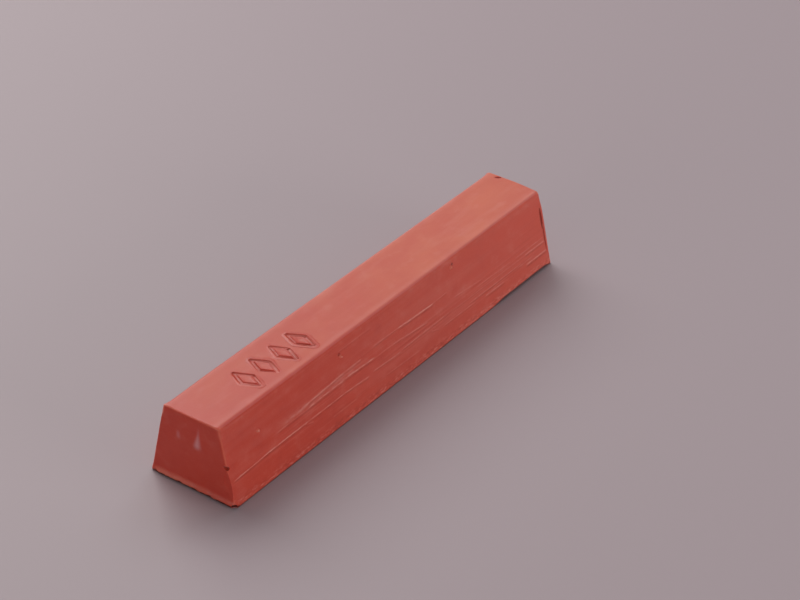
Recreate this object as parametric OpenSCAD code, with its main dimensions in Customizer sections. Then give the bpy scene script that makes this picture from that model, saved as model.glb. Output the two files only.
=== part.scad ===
// Wax stick for filling dents and scratches in furniture: one bar of hard wax, cast in an open mould.
// The narrow face lay at the bottom of the mould and is now on top. The wide face is the pour face,
// which dishes as the wax sets, so the bar stands on the two flat runners along its flanks.
// The bar lies along X, stands on Z = 0, and its origin is the middle of its base.

/* [Bar] */
// Length between the two ends
bar_length = 80; // [40:1:160]
// Width across the base
base_width = 15.7; // [10:0.1:24]
// Width across the top, measured to where the flanks would meet it if its edges were sharp
top_width = 9.9; // [6:0.1:14]
// Height from the base to the top
bar_height = 12.7; // [8:0.1:20]

/* [Edges] */
// Radius of the two long top edges, which the bottom corners of the mould leave
long_edge_radius = 0.5; // [0.2:0.1:2]
// Radius of the arrises at the two ends, across the top and down the flanks
arris_radius = 0.3; // [0.1:0.1:1.5]
// Angle in degrees at which a rounded edge meets the two faces beside it
meeting_angle = 6; // [2:1:20]

/* [Pour face] */
// Depth of the hollow that the wax sinks to as it sets
sink_depth = 0.2; // [0.1:0.05:1]
// Width of the flat runner on each side of the hollow
runner_width = 2; // [1:0.1:4]

/* [Hidden] */
$fn = 96;

// Facets on the wide arc of the hollow
sink_facets = 720;

// How far a cutting shape runs past the face that it cuts
overrun = 1;

// The flanks lean in by this angle, which lets the bar leave its mould
draft = atan2((base_width - top_width) / 2, bar_height);
flank_length = bar_height / cos(draft);

// Depth of an edge's centre below the two faces beside it
long_edge_depth = long_edge_radius * cos(meeting_angle);
arris_depth = arris_radius * cos(meeting_angle);

// Height and distance from the middle of the centre of a long edge
long_edge_z = bar_height - long_edge_depth;
long_edge_y = base_width / 2 - long_edge_depth / cos(draft) - long_edge_z * tan(draft);

// The hollow is an arc between the inner edges of the two runners
sink_half_width = base_width / 2 - runner_width;
sink_radius = (pow(sink_half_width, 2) + pow(sink_depth, 2)) / (2 * sink_depth);

// Section of what comes off a sharp edge to round it, drawn about the centre of the round.
// One face beside the edge looks along +Y, and the other along +X, turned up by the lean.
module edge_waste(radius, lean = 0) {
    reach = radius + overrun;
    difference() {
        polygon([[0, 0], reach * [cos(lean), sin(lean)], [reach, reach], [0, reach]]);
        circle(radius);
    }
}

// The bar as it would be with sharp edges and a flat base
module sharp_bar() {
    half_base = base_width / 2;
    half_top = top_width / 2;
    rotate([90, 0, 90])
        linear_extrude(bar_length, center = true)
            polygon([[-half_base, 0], [half_base, 0], [half_top, bar_height], [-half_top, bar_height]]);
}

// Waste along the top edge of one flank
module long_edge_waste(side) {
    rotate([90, 0, 90])
        linear_extrude(bar_length + 2 * overrun, center = true)
            scale([side, 1])
                translate([long_edge_y, long_edge_z])
                    edge_waste(long_edge_radius, draft);
}

// Waste across the top of one end
module top_arris_waste(end) {
    rotate([90, 0, 0])
        linear_extrude(base_width + 2 * overrun, center = true)
            scale([end, 1])
                translate([bar_length / 2 - arris_depth, bar_height - arris_depth])
                    edge_waste(arris_radius);
}

// Waste down the corner of one end and one flank, which follows the lean of the flank
module corner_arris_waste(end, side) {
    translate([end * bar_length / 2, side * base_width / 2, 0])
        rotate([side * draft, 0, 0])
            translate([0, 0, -overrun])
                linear_extrude(flank_length + 2 * overrun)
                    scale([end, side])
                        translate([-arris_depth, -arris_depth])
                            edge_waste(arris_radius);
}

// The hollow along the pour face
module sink() {
    translate([0, 0, sink_depth - sink_radius])
        rotate([0, 90, 0])
            cylinder(r = sink_radius, h = bar_length + 2 * overrun, center = true, $fn = sink_facets);
}

module wax_bar() {
    color([0.73, 0.36, 0.29])
        difference() {
            sharp_bar();
            for (side = [-1, 1])
                long_edge_waste(side);
            for (end = [-1, 1])
                top_arris_waste(end);
            for (end = [-1, 1], side = [-1, 1])
                corner_arris_waste(end, side);
            sink();
        }
}

wax_bar();
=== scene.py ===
import math

import bmesh
import bpy
from mathutils import Matrix, Vector


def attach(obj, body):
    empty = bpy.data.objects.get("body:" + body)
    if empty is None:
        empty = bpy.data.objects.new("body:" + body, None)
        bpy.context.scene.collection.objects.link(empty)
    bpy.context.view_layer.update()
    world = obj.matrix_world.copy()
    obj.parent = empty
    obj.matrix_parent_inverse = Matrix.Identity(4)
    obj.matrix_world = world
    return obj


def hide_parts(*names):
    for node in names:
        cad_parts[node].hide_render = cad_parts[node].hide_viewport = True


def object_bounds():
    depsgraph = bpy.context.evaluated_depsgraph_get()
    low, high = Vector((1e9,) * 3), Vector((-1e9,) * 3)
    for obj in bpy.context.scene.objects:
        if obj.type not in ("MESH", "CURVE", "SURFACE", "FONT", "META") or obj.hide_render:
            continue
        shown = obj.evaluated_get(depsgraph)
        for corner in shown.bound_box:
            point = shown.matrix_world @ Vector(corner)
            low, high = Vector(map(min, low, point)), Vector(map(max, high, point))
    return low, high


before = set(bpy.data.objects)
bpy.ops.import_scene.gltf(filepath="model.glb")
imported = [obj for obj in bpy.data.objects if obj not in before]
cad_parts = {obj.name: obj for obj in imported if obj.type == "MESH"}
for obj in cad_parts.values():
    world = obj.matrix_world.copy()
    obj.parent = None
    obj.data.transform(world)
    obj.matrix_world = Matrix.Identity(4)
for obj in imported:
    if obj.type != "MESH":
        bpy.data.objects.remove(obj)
cad_low, cad_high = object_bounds()


# The bar: hard filler wax with red earth pigment stirred through it, satin and slightly see-through.
# It was poured into an open mould with leaning walls, narrow face down, and dragged out once it had set.
# Marks were then punched into the narrow face. Lengths are in millimetres until the mesh is finished.
mm_per_metre = 1000
mould_length, mould_width, mould_height = mm_per_metre * (cad_high - cad_low)
end_room, side_room, top_room = 0.02, 0.02, 0.10
bar_length = mould_length - 2 * end_room
base_width = mould_width - 2 * side_room
bar_height = mould_height - top_room
top_width = 9.9
lean = (base_width - top_width) / 2 / bar_height
slant = math.hypot(1, lean)


def feed(tree, value, socket):
    if isinstance(value, Field):
        tree.links.new(value.socket, socket)
    else:
        socket.default_value = value


def math_node(tree, operation, *values):
    node = tree.nodes.new("ShaderNodeMath")
    node.operation = operation
    for value, socket in zip(values, node.inputs):
        feed(tree, value, socket)
    return Field(tree, node.outputs[0])


class Field:
    """A number that varies over the bar: sums written with it become math nodes in its tree."""

    def __init__(self, tree, socket):
        self.tree = tree
        self.socket = socket

    def __add__(self, other):
        return math_node(self.tree, "ADD", self, other)

    def __radd__(self, other):
        return math_node(self.tree, "ADD", other, self)

    def __sub__(self, other):
        return math_node(self.tree, "SUBTRACT", self, other)

    def __rsub__(self, other):
        return math_node(self.tree, "SUBTRACT", other, self)

    def __mul__(self, other):
        return math_node(self.tree, "MULTIPLY", self, other)

    def __rmul__(self, other):
        return math_node(self.tree, "MULTIPLY", other, self)

    def __truediv__(self, other):
        return math_node(self.tree, "DIVIDE", self, other)

    def __abs__(self):
        return math_node(self.tree, "ABSOLUTE", self)

    def at_least(self, other):
        return math_node(self.tree, "MAXIMUM", self, other)

    def at_most(self, other):
        return math_node(self.tree, "MINIMUM", self, other)

    def over(self, other):
        return math_node(self.tree, "GREATER_THAN", self, other)

    def sign(self):
        return math_node(self.tree, "SIGN", self)

    def root(self):
        return math_node(self.tree, "SQRT", self)

    def rise(self, start, end, shape="SMOOTHSTEP"):
        """0 up to start and 1 from end on."""
        node = self.tree.nodes.new("ShaderNodeMapRange")
        node.interpolation_type = shape
        feed(self.tree, self, node.inputs["Value"])
        feed(self.tree, start, node.inputs["From Min"])
        feed(self.tree, end, node.inputs["From Max"])
        return Field(self.tree, node.outputs["Result"])

    def fall(self, start, end):
        """1 up to start and 0 from end on."""
        return 1 - self.rise(start, end)


def vector(tree, x, y, z):
    node = tree.nodes.new("ShaderNodeCombineXYZ")
    for value, socket in zip((x, y, z), node.inputs):
        feed(tree, value, socket)
    return Field(tree, node.outputs[0])


def parts(tree, place):
    node = tree.nodes.new("ShaderNodeSeparateXYZ")
    feed(tree, place, node.inputs[0])
    return [Field(tree, socket) for socket in node.outputs]


def cloud(tree, x, y, z, seed, detail=2.0):
    """Noise from -1 to 1 with about one swell in each unit of x, y and z."""
    node = tree.nodes.new("ShaderNodeTexNoise")
    node.noise_dimensions = "4D"
    feed(tree, vector(tree, x, y, z), node.inputs["Vector"])
    node.inputs["W"].default_value = seed
    node.inputs["Scale"].default_value = 1.0
    node.inputs["Detail"].default_value = detail
    return Field(tree, node.outputs["Fac"]) * 2 - 1


def srgb(*levels):
    """Colour of a picture's 0 to 255 levels as the light it stands for."""
    shares = [level / 255 for level in levels]
    light = [s / 12.92 if s < 0.04045 else ((s + 0.055) / 1.055) ** 2.4 for s in shares]
    return (*light, 1.0)


wax_red = srgb(190, 66, 48)
deep_red = srgb(176, 56, 43)
warm_red = srgb(200, 92, 62)
# Brighter red of painted light on the far half of the flanks
painted_far_light_red = srgb(204, 66, 44)
# Pale of scuffs, lines and struck marks, and of painted light and painted reflection
pale_scuff_and_painted_light = srgb(216, 146, 136)
# Pink of painted highlight on the drips and painted reflection along the top's long edges
highlight_pink = srgb(206, 142, 146)
# Orange of edge wear and pale torn wax, and of painted highlight on the arrises, the near left hip and the
# foot
wear_and_highlight_orange = srgb(224, 140, 116)
# Dark red of dark hairlines and chafing, and of painted shade in the grooves below drag lines
dark_score_and_groove_shade = srgb(120, 40, 34)
# Deeper red of the cleaner ends and base, partly painted shade, and of the top's near end painted redder
clean_and_shaded_red = srgb(180, 46, 30)
# Near-black red of painted shade: the gap under the foot, the lowest rim of the sides and the hollows of
# knocks
painted_shade_red = srgb(58, 22, 20)

# Lines left by the mould: from where along the bar and up the flank, to where, half the width, strength.
# They spread a little beyond that width, fade out at both ends and waver
line_spread = 1.1
line_fade = 0.12
line_waver = 0.06
drag_lines = [
    (0.8, 4.15, 9.0, 4.55, 0.15, 0.80),
    (7.5, 4.55, 18.6, 4.62, 0.16, 0.90),
    (17.0, 4.45, 19.0, 3.95, 0.14, 0.40),
    (18.0, 4.60, 27.2, 4.65, 0.15, 0.62),
    (26.2, 4.65, 32.6, 4.30, 0.15, 0.60),
    (33.0, 4.65, 40.5, 4.30, 0.15, 0.55),
    (39.5, 4.55, 53.5, 4.72, 0.15, 0.50),
    (52.5, 4.60, 75.0, 4.45, 0.14, 0.34),
    (73.2, 4.50, 79.6, 4.50, 0.18, 0.72),
    (13.0, 6.80, 18.8, 7.15, 0.34, 0.34),
    (17.5, 7.20, 26.8, 7.75, 0.17, 0.68),
    (25.8, 7.70, 31.4, 7.80, 0.18, 0.58),
    (10.8, 6.40, 20.5, 6.55, 0.15, 0.38),
    (18.3, 6.60, 27.2, 6.62, 0.19, 0.62),
    (26.2, 6.80, 34.5, 6.50, 0.20, 0.82),
    (33.5, 6.45, 41.0, 6.30, 0.15, 0.32),
    (39.2, 6.40, 47.6, 5.70, 0.15, 0.46),
    (40.0, 8.20, 49.6, 7.90, 0.19, 1.00),
    (34.0, 8.35, 41.5, 8.20, 0.14, 0.32),
    (48.2, 7.95, 53.2, 8.10, 0.14, 0.36),
    (61.8, 2.88, 67.6, 2.90, 0.20, 0.58),
    (73.2, 2.78, 79.6, 2.78, 0.20, 0.86),
    (47.6, 3.98, 49.8, 3.32, 0.12, 0.38),
    (22.8, 2.40, 29.2, 2.40, 0.14, 0.32),
    (35.8, 2.55, 44.7, 2.35, 0.14, 0.32),
    (54.0, 6.50, 62.2, 5.90, 0.14, 0.32),
    (57.0, 3.70, 72.5, 3.62, 0.14, 0.46),
    (64.0, 3.28, 76.0, 3.40, 0.13, 0.40),
    (70.5, 5.10, 79.4, 5.20, 0.13, 0.44),
    (60.0, 5.35, 70.0, 5.15, 0.13, 0.34),
    (50.5, 3.30, 60.0, 3.20, 0.14, 0.36),
    (26.2, 11.40, 34.7, 11.40, 0.14, 0.32),
]


def drag_line(along, up, line):
    """How strong a line is at a point, and how far the point lies above its middle in half widths."""
    from_along, from_up, to_along, to_up, half_width, strength = line
    run = along.rise(from_along, to_along, "LINEAR")
    faded = (run * (1 - run)).rise(0.0, line_fade) * strength
    middle = run * (to_up - from_up) + from_up
    return faded, (up - middle) / (half_width * line_spread)


def wandering(tree, x, z):
    """Height up the flank, shaken a little so that no drag line runs straight."""
    slow = cloud(tree, x / 8, z / 3, 0.0, seed=3.0) * line_waver
    quick = cloud(tree, x / 0.8, z / 0.5, 0.0, seed=8.0) * line_waver
    return z * slant + slow + quick


wax = bpy.data.materials.new("brick red wax")
wax.use_nodes = True
paint = wax.node_tree
gloss = paint.nodes["Principled BSDF"]


def tinted(colour, share, towards):
    """The colour turned towards another one by a share that varies over the bar."""
    node = paint.nodes.new("ShaderNodeMix")
    node.data_type = "RGBA"
    feed(paint, share, node.inputs[0])
    feed(paint, colour, node.inputs[6])
    feed(paint, towards, node.inputs[7])
    return Field(paint, node.outputs[2])


def layered(*layers):
    """Sum of masks, each with the share that it comes to where it is strongest."""
    shares = [mask * share for mask, share in layers]
    return sum(shares[1:], shares[0])


def from_mesh(name):
    node = paint.nodes.new("ShaderNodeAttribute")
    node.attribute_name = name
    return Field(paint, node.outputs["Fac"])


place = paint.nodes.new("ShaderNodeTexCoord")
in_mm = paint.nodes.new("ShaderNodeVectorMath")
in_mm.operation = "SCALE"
in_mm.inputs["Scale"].default_value = mm_per_metre
paint.links.new(place.outputs["Object"], in_mm.inputs[0])
x, y, z = parts(paint, Field(paint, in_mm.outputs[0]))
along = x + bar_length / 2
flank = from_mesh("flank")
near_side = y.fall(-1, 1)
drawn = along * near_side + (bar_length - along) * (1 - near_side)

# A drag line is a pale ridge with a groove below it, whose shade is painted dark; both are broken here and
# there and fainter at the back
up = wandering(paint, x, z)
groove_below = 1.7
groove_share = 0.7
back_share = 0.6
dragged = 0
for line in drag_lines:
    strength, offset = drag_line(drawn, up, line)
    ridge = abs(offset).fall(0.1, 1.0)
    groove = abs(offset + groove_below).fall(0.1, 1.1)
    dragged = dragged + strength * (ridge - groove_share * groove)
breaks = cloud(paint, x / 1.2, z / 0.4, 0.0, seed=5.0, detail=5.0)
dragged = dragged * flank * (back_share + (1 - back_share) * near_side)
dragged = dragged * (0.4 + 0.8 * breaks.rise(-0.35, 0.25))
scored_pale = dragged.at_least(0)
# Painted shade in the groove below each drag line
groove_painted_shade = (dragged * -1).at_least(0)

# The pigment is cloudy: large mottling, small blotches, streaks along the bar, and grain
mottling = cloud(paint, x / 9, y / 6, z / 6, seed=1.0, detail=3.0)
blotches = cloud(paint, x / 2.6, y / 1.8, z / 1.8, seed=9.0, detail=3.0)
patches = cloud(paint, x / 9, y / 2, z / 2, seed=7.0)
swept = cloud(paint, x / 30, y / 1.6, z / 1.6, seed=6.0, detail=2.0)
grain = cloud(paint, x / 0.3, y / 0.3, z / 0.3, seed=2.0)

# The flanks are scraped: hairlines and scratches, a smear on the near one, and a chafed strip at the base
hairlines = cloud(paint, x / 34, y / 0.30, z / 0.30, seed=4.0, detail=2.0)
scraped = flank * z.rise(1.2, 2.6) * (0.35 + 0.65 * z.fall(7.5, 9.5))
scraped = scraped * (0.25 + 0.75 * along.rise(6, 18)) * patches.rise(-0.5, 0.3)
pale_lines = hairlines.rise(0.05, 0.50) * (0.04 + 0.96 * scraped)
dark_lines = hairlines.fall(-0.50, -0.05) * scraped
scratches = cloud(paint, x / 2.4, y / 0.17, z / 0.17, seed=12.0).rise(0.30, 0.55) * scraped
smear_height = 6.9
smear = flank * near_side * along.rise(11, 15) * along.fall(26, 36)
smear = smear * abs(z - smear_height).fall(0.1, 0.9) * breaks.rise(-0.5, 0.4)
chafing = cloud(paint, x / 0.9, y, z / 0.3, seed=10.0)
chafed_strip = flank * z.rise(0.1, 0.35) * z.fall(0.7, 1.7)

# The top is warmer. Painted light runs along the bar: lighter and warmer towards the far end, the top
# redder near its near end. The ends and the base are a cleaner, deeper red, partly painted shade
on_top = from_mesh("top")
# Painted light: the bar grows lighter and warmer towards the far end
to_far_end = along.rise(5, 75)
# Painted reflection: a pale band on the top near its long edges
top_edge_sheen = on_top * abs(y).rise(3.4, 4.4)
ends_and_base = (1 - flank - on_top).at_least(0)
least_warmth = 0.32
warmed = on_top * (least_warmth + layered((mottling, 1.0), (to_far_end, 0.4))).at_least(0)
deepened = layered((mottling.rise(-0.5, 0.6), 0.5), (blotches.rise(0.0, 0.5), 0.4))
# Scuffs, streaks and grain, and painted light lightening the flanks and the bar towards the far end
scuffs_and_painted_light = layered(
    (swept.rise(-0.1, 0.5) * (1 + 2 * flank), 0.03),
    (grain.rise(0.0, 0.8), 0.10),
    (flank * along.rise(5, 40), 0.03),
    (blotches.fall(-0.5, 0.0), 0.10),
    (chafed_strip * chafing.rise(0.0, 0.4), 0.34),
    (smear, 0.24),
    (on_top * patches.rise(0.0, 0.5), 0.14),
    (to_far_end, 0.13),
)
# The dark below each drag line is painted groove shade; the dark hairlines and the chafing are the wax's
# own
darkened = layered((dark_lines, 0.22), (groove_painted_shade, 0.5), (chafed_strip * chafing.fall(-0.4, 0.0), 0.3))
# The ends and the base are a cleaner, deeper red, partly painted shade; the top's near end is painted
# deeper red as painted shade along the bar
cleaned_and_shaded = layered((ends_and_base, 0.25), (on_top * along.fall(0, 70), 0.34))

colour = tinted(wax_red, deepened, deep_red)
colour = tinted(colour, warmed, warm_red)
# Painted light: the far half of the flanks is brighter red
colour = tinted(colour, layered((flank * along.rise(40, 80), 0.5)), painted_far_light_red)
colour = tinted(colour, scuffs_and_painted_light, pale_scuff_and_painted_light)
colour = tinted(colour, darkened, dark_score_and_groove_shade)
colour = tinted(colour, layered((pale_lines, 0.16), (scratches, 0.22)), pale_scuff_and_painted_light)
colour = tinted(colour, layered((scored_pale, 0.66)), pale_scuff_and_painted_light)
colour = tinted(colour, cleaned_and_shaded, clean_and_shaded_red)
# Real wear on the edges and pale torn wax in knocks, with painted highlight on the arrises, the near left
# hip and the foot
colour = tinted(colour, layered((from_mesh("wear_and_highlight"), 0.26)), wear_and_highlight_orange)
# Pale of struck marks, and a painted reflection band near the top's long edges
colour = tinted(colour, layered((from_mesh("struck"), 0.16), (top_edge_sheen, 0.12)), pale_scuff_and_painted_light)
# Painted highlight on the drips, and painted reflection along the top's long edges
colour = tinted(colour, layered((from_mesh("drip_and_highlight"), 0.75)), highlight_pink)
# Painted shade, nearly black, in the gap under the foot, along the lowest rim of the sides and ends, and in
# knocks
colour = tinted(colour, layered((from_mesh("painted_shade").at_most(1), 0.9)), painted_shade_red)
feed(paint, colour, gloss.inputs["Base Color"])

satin = 0.40
roughness = satin + layered((mottling, 0.05), (grain, 0.06), (scored_pale, 0.08))
feed(paint, roughness, gloss.inputs["Roughness"])
gloss.inputs["IOR"].default_value = 1.45
gloss.inputs["Specular IOR Level"].default_value = 0.42
gloss.inputs["Subsurface Weight"].default_value = 0.25
gloss.inputs["Subsurface Radius"].default_value = (1.0, 0.35, 0.2)
gloss.inputs["Subsurface Scale"].default_value = 0.0006

relief = paint.nodes.new("ShaderNodeBump")
relief.inputs["Strength"].default_value = 1.0
relief.inputs["Distance"].default_value = 0.00003
raised = layered((pale_lines, 0.3), (dark_lines, -0.3), (grain, 0.12), (swept, 0.3))
feed(paint, raised, relief.inputs["Height"])
paint.links.new(relief.outputs["Normal"], gloss.inputs["Normal"])

# The wax takes the mould's form: leaning flanks, upright ends, soft long edges and a dished pour face.
# The near flank leans in less at the near end, and the difference dies away over this run
overhang_run = 110
form_sizes = {
    "Length": bar_length,
    "Base Width": base_width,
    "Top Width": top_width,
    "Height": bar_height,
    "Long Edge Radius": 0.65,
    "Arris Radius": 0.24,
    "Base Edge Radius": 0.18,
    "Sink Depth": 0.2,
    "Runner Width": 2.0,
    "Near Overhang": 0.32,
    "Swell": 0.03,
    "Drag Relief": 0.02,
    "Mark Pitch": 4.0,
    "Mark Width": 2.4,
    "Mark Height": 5.0,
    "Mark Stroke": 0.66,
    "Mark Depth": 0.16,
    "Mark Burr": 0.04,
}
form = bpy.data.node_groups.new("cast bar", "GeometryNodeTree")
form.interface.new_socket("Knocks", in_out="INPUT", socket_type="NodeSocketGeometry")
size_sockets = {
    name: form.interface.new_socket(name, in_out="INPUT", socket_type="NodeSocketFloat")
    for name in form_sizes
}
form.interface.new_socket("Bar", in_out="OUTPUT", socket_type="NodeSocketGeometry")
form_in = form.nodes.new("NodeGroupInput")
form_out = form.nodes.new("NodeGroupOutput")
size = {name: Field(form, form_in.outputs[name]) for name in form_sizes}

# Runs of grid lines as a length and a spacing: close where the form turns or is struck, wide elsewhere
lines_along = [(0.8, 0.1), (78.4, 0.4), (0.8, 0.1)]
lines_across = [(0.8, 0.1), (8.25, 0.2), (0.8, 0.1)]
lines_up = [(1.0, 0.1), (1.2, 0.24), (6.2, 0.1), (3.2, 0.24), (1.0, 0.1)]


def cells(runs):
    return [round(length / spacing) for length, spacing in runs]


def share_at(fraction, runs):
    """Where a grid line lies from 0 to 1, if the lines are numbered evenly from 0 to 1."""
    whole = sum(length for length, spacing in runs)
    counts = cells(runs)
    reached = 0
    place = 0
    for (length, spacing), count in zip(runs, counts):
        start = reached / sum(counts)
        reached += count
        place = place + fraction.rise(start, reached / sum(counts), "LINEAR") * (length / whole)
    return place


block = form.nodes.new("GeometryNodeMeshCube")
block.inputs["Size"].default_value = (2, 2, 2)
for axis, runs in zip("XYZ", (lines_along, lines_across, lines_up)):
    block.inputs["Vertices " + axis].default_value = sum(cells(runs)) + 1
grid_place = form.nodes.new("GeometryNodeInputPosition")
u, v, w = parts(form, Field(form, grid_place.outputs[0]))

# The mould's form, in a frame where the leaning flanks stand upright while their edges are rounded
half_length = size["Length"] / 2
half_base = size["Base Width"] / 2
height = size["Height"]
flank_lean = (size["Base Width"] - size["Top Width"]) / 2 / size["Height"]
x = (share_at((u + 1) / 2, lines_along) * 2 - 1) * half_length
z = share_at((w + 1) / 2, lines_up) * height
across = share_at((v + 1) / 2, lines_across) * 2 - 1
end = x.sign()
side = across.sign()
y = across * (half_base - z * flank_lean) + side * z * flank_lean
along = x + half_length
to_end = half_length - abs(x)
near_right = along.fall(1, 3) * v.fall(-1, 0)
far_right = along.rise(77, 79) * v.fall(-1, 0)
unevenness = 0.3
near_hip_wear = 0.7
far_hip_wear = 2.2
uneven = 1 + unevenness * cloud(form, x / 4, y / 3, z / 3, seed=11.0)
hip_wear = near_right * z.rise(5.9, 6.6) * near_hip_wear + far_right * z.rise(9, 12) * far_hip_wear
round_x = size["Arris Radius"] * (uneven + hip_wear)
top_share = z.rise(height - 2.5, height - 1.0)
round_y = round_x * (1 - top_share) + size["Long Edge Radius"] * top_share
away = to_end.rise(0.3, 1.6)
round_top = size["Long Edge Radius"] * away + round_x * (1 - away)
upper = w.over(0)
round_z = round_top * upper + size["Base Edge Radius"] * uneven * (1 - upper)
from_middle = z - height / 2
past_x = ((abs(x) - half_length + round_x) / round_x).at_least(0)
past_y = ((abs(y) - half_base + round_y) / round_y).at_least(0)
past_z = ((abs(from_middle) - height / 2 + round_z) / round_z).at_least(0)
furthest = past_x.at_least(past_y).at_least(past_z)
least_reach = 0.001
reach = (past_x * past_x + past_y * past_y + past_z * past_z).root().at_least(least_reach)
pull = furthest / reach
near_left = along.fall(1, 3) * v.rise(0, 1)
# Wear on the edges near the ends, doubled at the near left hip as painted highlight
wear_and_highlight = (reach - furthest).rise(0.02, 0.35) * to_end.fall(0.4, 1.0) * (1 + near_left)
on_face = 0.999
# Painted reflection: a pale band on the top along its long edges, away from the ends
edge_highlight = (reach - furthest).rise(0.01, 0.30) * to_end.rise(0.6, 1.4) * w.over(on_face)
x = end * (abs(x).at_most(half_length - round_x) + round_x * past_x * pull)
y = side * (abs(y).at_most(half_base - round_y) + round_y * past_y * pull)
z = height / 2 + from_middle.sign() * (
    abs(from_middle).at_most(height / 2 - round_z) + round_z * past_z * pull
)
overhang = size["Near Overhang"] * along.fall(0, overhang_run) * z / height
y = y - side * z * flank_lean - overhang * (1 - v) / 2

# The wax drew in as it set: slow swells all over, a dished pour face, and a foot along the near end
swell = size["Swell"]
x = x + cloud(form, x / 5, y / 5, z / 5, seed=21.0) * swell * to_end.rise(0, 0.01).fall(0, 1)
y = y + cloud(form, x / 7, y / 5, z / 4, seed=22.0) * swell
z = z + cloud(form, x / 7, y / 4, z / 5, seed=23.0) * swell * z.rise(0.2, 2)
from_crown = y / (half_base - size["Runner Width"])
sunk = (1 - from_crown * from_crown).at_least(0) * (0.3 + 0.7 * to_end.rise(0, 9))
ripple = cloud(form, x / 5, y / 1.6, 0.0, seed=28.0, detail=3.0).rise(-0.5, 0.5)
z = z + size["Sink Depth"] * sunk * z.fall(0, 2.5) * (0.85 + 0.4 * ripple * w.fall(-0.999, -0.99))

# The foot stands out from the near end, and a low gap runs under it, darkened with painted shade
near_end = along.fall(0.3, 2.5)
foot_reach = 0.30
gap_depth = 0.14
foot_height = 0.85 + 0.45 * cloud(form, y / 1.6, 0.0, 0.0, seed=24.0, detail=3.0)
foot_fullness = (0.9 + 0.4 * cloud(form, y / 1.2, z / 1.2, 0.0, seed=26.0)).at_most(1)
foot = (z - foot_height).fall(-0.25, 0.55) * foot_fullness * (1 - 0.7 * y.rise(6.0, 7.4))
gap_height = 0.39 + 0.60 * cloud(form, y / 0.9, 0.0, 0.0, seed=27.0, detail=3.0)
undercut = (z - gap_height).fall(-0.08, 0.06) * (1 - 0.6 * y.rise(5.5, 7.4))
x = x + near_end * (foot_reach - foot_reach * foot + gap_depth * undercut)
# Painted shade: the gap under the foot and the lowest rim of the sides and ends
painted_shade = undercut * along.fall(0.5, 1.2) + z.fall(0.10, 0.32) * w.over(-on_face)
# Painted highlight along the foot, stronger towards its left
wear_and_highlight = wear_and_highlight + foot * (1 - undercut) * along.fall(0.3, 0.8) * (0.6 + 0.9 * y.rise(-6, 2))

# The base edge is ragged, the near end is narrower at its left, and the base is lifted near the far end
lip_depth = 0.10
lip_room = 0.03
left_inset = 0.12
lift_height = 0.35
lip = cloud(form, x / 1.6, side * 3, 0.0, seed=25.0, detail=3.0) * lip_depth * z.fall(0.2, 1.0)
y = y - side * (lip_room * z.rise(0.1, 0.9) + lip.at_least(0))
y = y - left_inset * v.rise(0, 1) * along.fall(2, 12)
lifted = along.rise(63, 67) * along.fall(78, 79.5) * y.fall(-7.0, -5.6) * z.fall(0.2, 1.8)
z = z + lifted * lift_height

# Lines that the mould scored into the flanks, each a low ridge with a groove below it
near_side = v.fall(-0.5, 0.5)
drawn = along * near_side + (bar_length - along) * (1 - near_side)
up = wandering(form, x, z)
groove_below = 1.6
groove_share = 0.8
scored = 0
for line in drag_lines:
    strength, offset = drag_line(drawn, up, line)
    ridge = abs(offset).fall(0, 1.2)
    groove = abs(offset + groove_below).fall(0, 1.2)
    scored = scored + strength * (ridge - groove_share * groove)
y = y + side * scored * size["Drag Relief"] * abs(v).over(on_face) * to_end.rise(0.5, 1.0)

# A drip that ran down the near end as the wax was poured, and a small one beside it, both raised and
# painted pale as a painted highlight
drip_relief = 0.05
drip_across = -1.2 - 0.12 * (z - 8)
drip_width = 0.34 + 0.66 * z.fall(7.6, 10.2)
drip = (abs(y - drip_across) / drip_width).fall(0.0, 1) * z.rise(7.0, 8.2) * z.fall(8.4, 11.8)
droplet_across = 2.2
droplet_width = 0.5
droplet_share = 0.4
droplet = (abs(y - droplet_across) / droplet_width).fall(0.1, 1) * z.rise(7.7, 8.4) * z.fall(8.7, 9.6)
# The drips' pale colour is painted highlight
drip_and_highlight = (drip + droplet * droplet_share) * along.fall(0.5, 1.0)
x = x - drip_and_highlight * drip_relief

# Nothing of the casting stands outside the mould
x = x.at_least(-mould_length / 2).at_most(mould_length / 2)
y = y.at_least(-mould_width / 2).at_most(mould_width / 2)
z = z.at_least(0).at_most(mould_height)


def next_node(kind, geometry, **settings):
    node = form.nodes.new(kind)
    for name, value in settings.items():
        setattr(node, name, value)
    form.links.new(geometry, node.inputs[0])
    return node


# What the material reads from the mesh
edge_highlight_share = 0.26
half_top = 5.0
geometry = block.outputs["Mesh"]
for name, value in {
    "flank": abs(v).over(on_face) * abs(u).fall(0.99, 0.9999),
    "top": w.over(on_face) * (half_top - abs(y)).rise(0, 0.5),
    "wear_and_highlight": wear_and_highlight,
    "drip_and_highlight": drip_and_highlight + edge_highlight * edge_highlight_share,
    "painted_shade": painted_shade,
}.items():
    note = next_node("GeometryNodeStoreNamedAttribute", geometry, data_type="FLOAT", domain="POINT")
    note.inputs["Name"].default_value = name
    feed(form, value, note.inputs["Value"])
    geometry = note.outputs["Geometry"]
settled = next_node("GeometryNodeSetPosition", geometry)
feed(form, vector(form, x, y, z), settled.inputs["Position"])

# Knocks: small pits, chips and nicks, each a lump with its own radii and turn cut out of the bar
lump = form.nodes.new("GeometryNodeMeshIcoSphere")
lump.inputs["Radius"].default_value = 1
lump.inputs["Subdivisions"].default_value = 4


def knock_value(name):
    node = form.nodes.new("GeometryNodeInputNamedAttribute")
    node.data_type = "FLOAT_VECTOR"
    node.inputs["Name"].default_value = name
    return Field(form, node.outputs["Attribute"])


def turned_by(angles):
    node = form.nodes.new("FunctionNodeEulerToRotation")
    feed(form, angles, node.inputs[0])
    return node.outputs[0]


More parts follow.
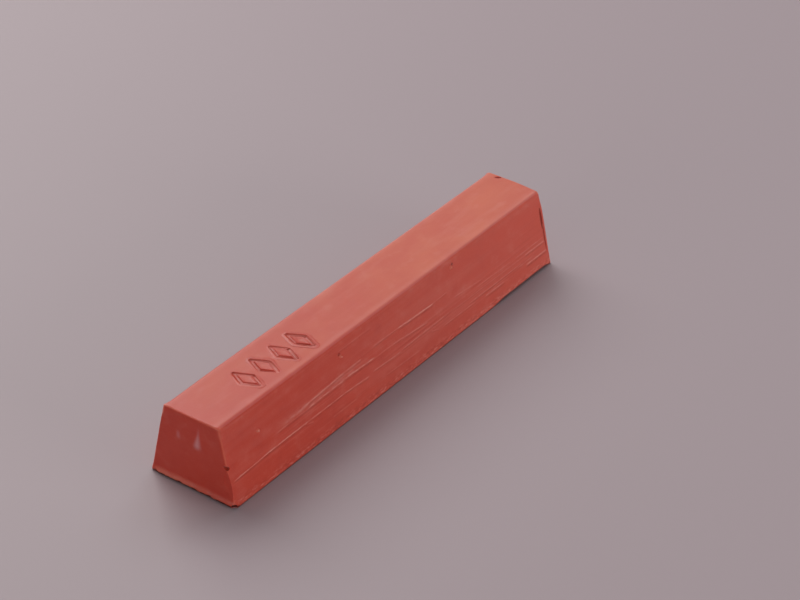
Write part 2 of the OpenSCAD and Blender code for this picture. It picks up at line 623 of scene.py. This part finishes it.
lumps = next_node("GeometryNodeInstanceOnPoints", form_in.outputs["Knocks"])
form.links.new(lump.outputs["Mesh"], lumps.inputs["Instance"])
form.links.new(turned_by(knock_value("turn")), lumps.inputs["Rotation"])
feed(form, knock_value("radii"), lumps.inputs["Scale"])
loose = next_node("GeometryNodeRealizeInstances", lumps.outputs["Instances"])
lump_place = form.nodes.new("GeometryNodeInputPosition")
tear = 0.4
tear_depth = 0.06
torn = [coordinate / tear for coordinate in parts(form, Field(form, lump_place.outputs[0]))]
rough = [cloud(form, *torn, seed=41.0 + axis) * tear_depth for axis in range(3)]
rough_lumps = next_node("GeometryNodeSetPosition", loose.outputs["Geometry"])
feed(form, vector(form, *rough), rough_lumps.inputs["Offset"])

# The struck marks: a row of plain lozenges a little askew, each of four blows with a round-nosed punch
mark_count = 4
first_mark = 11.9 - bar_length / 2
marks_across = -0.7
row = form.nodes.new("GeometryNodeMeshLine")
row.mode = "OFFSET"
row.inputs["Count"].default_value = mark_count
feed(form, vector(form, first_mark, marks_across, size["Height"]), row.inputs["Start Location"])
feed(form, vector(form, size["Mark Pitch"], 0.0, 0.0), row.inputs["Offset"])


def chance(least, most, seed):
    node = form.nodes.new("FunctionNodeRandomValue")
    node.data_type = "FLOAT_VECTOR"
    node.inputs["Min"].default_value = least
    node.inputs["Max"].default_value = most
    node.inputs["Seed"].default_value = seed
    return Field(form, node.outputs["Value"])


askew = next_node("GeometryNodeSetPosition", row.outputs["Mesh"])
feed(form, chance((-0.15, -0.12, -0.02), (0.15, 0.12, 0.03), 7), askew.inputs["Offset"])

# A blow leaves the round of the punch's nose. The nose's middle stays above the wax, so the walls slope,
# and the wax that it pushed aside stands as a low burr, whose middle lies below the face
half_mark_width = size["Mark Width"] / 2
half_mark_height = size["Mark Height"] / 2
corner_gap = 0.12
side_of_mark = (half_mark_width * half_mark_width + half_mark_height * half_mark_height).root()
half_blow = side_of_mark / 2 - corner_gap
blow_angle = math_node(form, "ARCTAN2", half_mark_height, half_mark_width)
middle_share = 0.5
ball = form.nodes.new("GeometryNodeMeshIcoSphere")
ball.inputs["Radius"].default_value = 1
ball.inputs["Subdivisions"].default_value = 5
ball_place = form.nodes.new("GeometryNodeInputPosition")
ball_x, ball_y, ball_z = parts(form, Field(form, ball_place.outputs[0]))


def long_round(half_width, rise, middle):
    """A ball drawn out to the length of a blow, as wide and high as asked where it meets the top face."""
    reach = half_width / math.sqrt(1 - middle_share ** 2)
    tall = rise / (1 - middle_share)
    node = next_node("GeometryNodeSetPosition", ball.outputs["Mesh"])
    drawn_out = ball_x * reach + ball_x.sign() * half_blow
    place = vector(form, drawn_out, ball_y * reach, (ball_z + middle) * tall)
    feed(form, place, node.inputs["Position"])
    settings = {"data_type": "FLOAT", "domain": "POINT"}
    noted = next_node("GeometryNodeStoreNamedAttribute", node.outputs["Geometry"], **settings)
    noted.inputs["Name"].default_value = "struck"
    noted.inputs["Value"].default_value = 1.0
    return noted.outputs["Geometry"]


def blows(one, slope, depth_waver):
    """The two sides of every lozenge that rise or fall with x, as a hand-held punch leaves them."""
    laid = next_node("GeometryNodeTransform", one)
    form.links.new(turned_by(vector(form, 0.0, 0.0, blow_angle * slope)), laid.inputs["Rotation"])
    pair = form.nodes.new("GeometryNodeJoinGeometry")
    for half in (-1, 1):
        moved = next_node("GeometryNodeTransform", laid.outputs["Geometry"])
        middle = vector(form, half_mark_width * (half / 2), half_mark_height * (-half * slope / 2), 0.0)
        feed(form, middle, moved.inputs["Translation"])
        form.links.new(moved.outputs["Geometry"], pair.inputs[0])
    marks = next_node("GeometryNodeInstanceOnPoints", askew.outputs["Geometry"])
    form.links.new(pair.outputs[0], marks.inputs["Instance"])
    tilt = chance((-0.02, -0.02, -0.08), (0.02, 0.02, 0.08), 8)
    form.links.new(turned_by(tilt), marks.inputs["Rotation"])
    joined = next_node("GeometryNodeRealizeInstances", marks.outputs["Instances"])
    mark_place = form.nodes.new("GeometryNodeInputPosition")
    mark_x, mark_y = parts(form, Field(form, mark_place.outputs[0]))[:2]
    spot = (mark_x / 0.8, mark_y / 0.8, 0.0)
    wobble = [cloud(form, *spot, seed=31.0 + axis) * hand_shake for axis in range(2)]
    uneven_depth = cloud(form, mark_x / 0.9, mark_y / 0.9, 0.0, seed=33.0 + slope, detail=3.0) * depth_waver
    wavered = next_node("GeometryNodeSetPosition", joined.outputs["Geometry"])
    feed(form, vector(form, *wobble, uneven_depth), wavered.inputs["Offset"])
    return wavered.outputs["Geometry"]


def cut_away(solid, tool):
    node = next_node("GeometryNodeMeshBoolean", solid, operation="DIFFERENCE", solver="MANIFOLD")
    form.links.new(tool, node.inputs["Mesh 2"])
    return node.outputs["Mesh"]


half_stroke = size["Mark Stroke"] / 2
burr_spread = 1.9
burr_waver = 0.02
dent_waver = 0.32
hand_shake = 0.10
burr = long_round(half_stroke * burr_spread, size["Mark Burr"], -middle_share)
dent = long_round(half_stroke, size["Mark Depth"], middle_share)
burred = form.nodes.new("GeometryNodeMeshBoolean")
burred.operation = "UNION"
burred.solver = "MANIFOLD"
for piece in (settled.outputs["Geometry"], blows(burr, 1, burr_waver), blows(burr, -1, burr_waver)):
    form.links.new(piece, burred.inputs["Mesh 2"])
solid = cut_away(burred.outputs["Mesh"], rough_lumps.outputs["Geometry"])
solid = cut_away(solid, blows(dent, 1, dent_waver))
solid = cut_away(solid, blows(dent, -1, dent_waver))

# Corners that the cuts left closer together than this are one corner
sliver = 0.003
welded = next_node("GeometryNodeMergeByDistance", solid)
welded.inputs["Distance"].default_value = sliver
smooth = next_node("GeometryNodeSetShadeSmooth", welded.outputs["Geometry"], domain="FACE")
crease_angle = math.radians(40)
edge_angle = form.nodes.new("GeometryNodeInputMeshEdgeAngle")
crease = Field(form, edge_angle.outputs["Unsigned Angle"]).over(crease_angle)
creased = next_node("GeometryNodeSetShadeSmooth", smooth.outputs["Geometry"], domain="EDGE")
feed(form, crease, creased.inputs["Selection"])
creased.inputs["Shade Smooth"].default_value = False
to_metres = next_node("GeometryNodeTransform", creased.outputs["Geometry"])
to_metres.inputs["Scale"].default_value = (1 / mm_per_metre,) * 3
whole = next_node("GeometryNodeRealizeInstances", to_metres.outputs["Geometry"])
waxed = next_node("GeometryNodeSetMaterial", whole.outputs["Geometry"])
waxed.inputs["Material"].default_value = wax
form.links.new(waxed.outputs["Geometry"], form_out.inputs["Bar"])


def on_flank(from_near_end, up_flank, out):
    """A place on the near flank, measured along it and up it, and so far out of the wax."""
    high = up_flank / slant
    overhang = form_sizes["Near Overhang"] * (1 - from_near_end / overhang_run)
    near_lean = lean - overhang / bar_height
    return (from_near_end - bar_length / 2, high * near_lean - base_width / 2 - out, high)


flank_turn = math.atan(lean)
near_x = -bar_length / 2
far_x = bar_length / 2
# Each knock: where its middle is, its radii, its turn, how pale its torn wax is, and the painted shade in
# it
knocks = [
    (on_flank(7.60, 8.85, 0.38), (0.66, 0.52, 0.46), (0, 0.5, 0), 1.2, 0.0),
    (on_flank(26.95, 10.50, 0.40), (0.80, 0.52, 0.40), (0, 0.5, 0), 1.1, 0.0),
    (on_flank(26.70, 10.95, 0.30), (0.46, 0.40, 0.38), (0, 0, 0), 0.0, 0.3),
    (on_flank(54.95, 11.40, 0.36), (0.62, 0.52, 0.56), (0, 0.6, 0), 1.2, 0.0),
    (on_flank(55.25, 11.75, 0.28), (0.40, 0.40, 0.40), (0, 0, 0), 0.0, 0.5),
    ((near_x + 0.05, -7.40, 3.80), (0.44, 1.80, 2.90), (-flank_turn, 0, 0), 0.0, 0.0),
    ((near_x + 0.30, -6.30, 6.45), (0.58, 0.54, 0.28), (0.45, 0, 0), 0.0, 0.4),
    ((near_x + 0.05, 0.05 - base_width / 2, 0.10), (0.80, 0.72, 0.78), (0, 0, 0), 0.0, 1.0),
    ((far_x - 0.62, 2.6, bar_height + 0.06), (0.26, 0.56, 0.28), (0, 0, 0.5), 0.0, 0.1),
    (on_flank(79.15, 8.4, 0.06), (0.28, 0.40, 1.9), (-flank_turn, 0, 0), 0.0, 0.3),
    (on_flank(79.30, 5.0, 0.04), (0.16, 0.28, 2.5), (-flank_turn, 0, 0), 0.0, 0.1),
]
knock_mesh = bpy.data.meshes.new("knocks")
knock_mesh.from_pydata([knock[0] for knock in knocks], [], [])
for name, column in (("radii", 1), ("turn", 2)):
    values = knock_mesh.attributes.new(name, "FLOAT_VECTOR", "POINT")
    for item, knock in zip(values.data, knocks):
        item.vector = knock[column]
for name, column in (("wear_and_highlight", 3), ("painted_shade", 4)):
    values = knock_mesh.attributes.new(name, "FLOAT", "POINT")
    for item, knock in zip(values.data, knocks):
        item.value = knock[column]

bar = bpy.data.objects.new("cast_bar", knock_mesh)
bpy.context.scene.collection.objects.link(bar)
casting = bar.modifiers.new("casting", "NODES")
casting.node_group = form
for name, value in form_sizes.items():
    casting[size_sockets[name].identifier] = float(value)
evaluated = bar.evaluated_get(bpy.context.evaluated_depsgraph_get())
cast_mesh = bpy.data.meshes.new_from_object(evaluated)
bar.modifiers.remove(casting)
bar.data = cast_mesh
for name in ("radii", "turn"):
    cast_mesh.attributes.remove(cast_mesh.attributes[name])

# Where a sliver closed up, two faces lie back to back on the same corners: both go
trimming = bmesh.new()
trimming.from_mesh(cast_mesh)
bmesh.ops.triangulate(trimming, faces=list(trimming.faces))
on_corners = {}
for face in trimming.faces:
    on_corners.setdefault(frozenset(face.verts), []).append(face)
back_to_back = [face for faces in on_corners.values() if len(faces) > 1 for face in faces]
bmesh.ops.delete(trimming, geom=back_to_back, context="FACES")
trimming.to_mesh(cast_mesh)
trimming.free()
cast_mesh.materials.clear()
cast_mesh.materials.append(wax)
cast_mesh.polygons.foreach_set("material_index", [0] * len(cast_mesh.polygons))
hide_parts("wax_bar")
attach(bar, "root")


# The floor: a plain pale table top, painted a warm grey and slightly satin.
# It is part of the stage, and takes the bar's soft shadow.
floor_colour = srgb(158, 143, 149)
floor_half = 1.5
floor_mesh = bpy.data.meshes.new("floor")
floor_corners = [(a * floor_half, b * floor_half, 0) for a, b in ((-1, -1), (1, -1), (1, 1), (-1, 1))]
floor_mesh.from_pydata(floor_corners, [], [(0, 1, 2, 3)])
floor = bpy.data.objects.new("floor", floor_mesh)
bpy.context.scene.collection.objects.link(floor)
table = bpy.data.materials.new("pale table")
table.use_nodes = True
table_finish = table.node_tree.nodes["Principled BSDF"]
table_finish.inputs["Base Color"].default_value = floor_colour
table_finish.inputs["Roughness"].default_value = 0.55
floor_mesh.materials.append(table)


# The light: a soft dome all round and four softboxes. A wide window stands behind the bar and lays its
# shadow towards the front, and a small cool one beyond the far end gives the top its sheen.
# A low warm fill lights the near flank, and a low card the near end.
dome_colour = (1.0, 0.98, 0.97, 1.0)
dome_strength = 0.28
world = bpy.data.worlds.new("studio")
world.use_nodes = True
world.node_tree.nodes["Background"].inputs["Color"].default_value = dome_colour
world.node_tree.nodes["Background"].inputs["Strength"].default_value = dome_strength
bpy.context.scene.world = world


def softbox(name, azimuth, elevation, distance, width, height, power, colour):
    """A lamp that looks at the bar; azimuth runs from +X towards +Y."""
    lamp = bpy.data.lights.new(name, "AREA")
    lamp.shape = "RECTANGLE"
    lamp.size = width
    lamp.size_y = height
    lamp.energy = power
    lamp.color = colour
    a, e = math.radians(azimuth), math.radians(elevation)
    towards = Vector((math.cos(a) * math.cos(e), math.sin(a) * math.cos(e), math.sin(e)))
    stand = bpy.data.objects.new(name, lamp)
    stand.location = towards * distance
    stand.rotation_mode = "QUATERNION"
    stand.rotation_quaternion = towards.to_track_quat("Z", "Y")
    stand.visible_camera = False
    bpy.context.scene.collection.objects.link(stand)


softbox(
    "window",
    azimuth=68, elevation=42, distance=0.9,
    width=0.7, height=0.7,
    power=6.6, colour=(1.0, 0.98, 0.95),
)
softbox(
    "sheen",
    azimuth=12, elevation=45, distance=0.9,
    width=0.4, height=0.4,
    power=1.1, colour=(0.92, 0.97, 1.0),
)
softbox(
    "fill",
    azimuth=-84, elevation=10, distance=0.4,
    width=0.22, height=0.12,
    power=0.64, colour=(1.0, 0.93, 0.88),
)
softbox(
    "card",
    azimuth=176, elevation=9, distance=0.6,
    width=0.4, height=0.16,
    power=0.7, colour=(1.0, 0.95, 0.91),
)


# The camera: a long lens at the photograph's place, rolled by under a degree.
# The frame is 800 by 600, and the focal length goes with the sensor's width.
camera_data = bpy.data.cameras.new("camera")
camera_data.sensor_width = 36
camera_data.lens = 105.45
azimuth = math.radians(-54.064)
elevation = math.radians(33.475)
roll = math.radians(0.613)
target = Vector((0.016495, 0.005214, 0.000040))
distance = 0.36893
level = math.cos(elevation)
back = Vector((math.sin(azimuth) * level, -math.cos(azimuth) * level, math.sin(elevation)))
right = Vector((0, 0, 1)).cross(back).normalized()
upward = back.cross(right)
rolled_right = right * math.cos(roll) + upward * math.sin(roll)
rolled_up = back.cross(rolled_right)
camera = bpy.data.objects.new("camera", camera_data)
facing = Matrix((rolled_right, rolled_up, back)).transposed()
camera.matrix_world = Matrix.Translation(target + back * distance) @ facing.to_4x4()
bpy.context.scene.collection.objects.link(camera)
bpy.context.scene.camera = camera
bpy.context.scene.view_settings.view_transform = "Standard"

bpy.context.view_layer.update()
